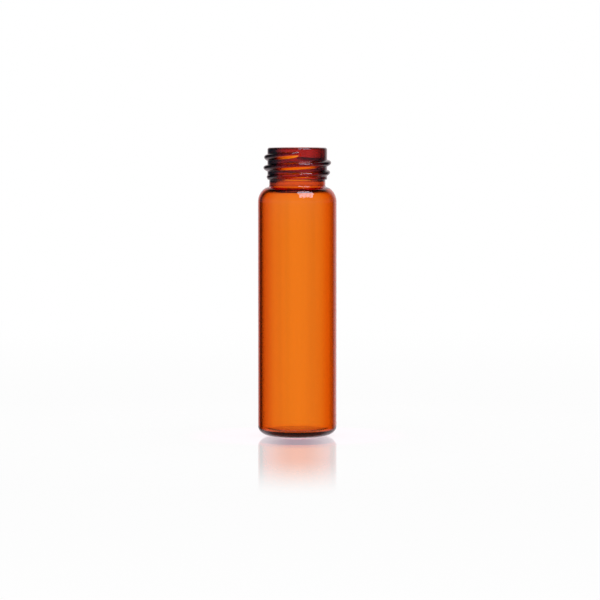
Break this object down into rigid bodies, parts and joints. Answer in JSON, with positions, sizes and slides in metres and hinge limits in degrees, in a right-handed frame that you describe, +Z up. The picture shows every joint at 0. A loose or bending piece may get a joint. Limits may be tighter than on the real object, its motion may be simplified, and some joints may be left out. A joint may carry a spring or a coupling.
{
  "type": "glass sample vial",
  "caption": "Cylindrical amber glass vial with a rounded shoulder, an open screw-thread neck and a flat-standing base, for holding small lab samples.",
  "frame": {"origin": "centre of the ring that the vial stands on", "axes": "+Z up along the vial's axis, out of its mouth; -Y is the side that faces the viewer"},
  "size_m": [0.0166, 0.0166, 0.061],
  "materials": {
    "amber_glass": "polished"
  },
  "bodies": {
    "root": {"vial": "amber_glass"}
  },
  "joints": []
}
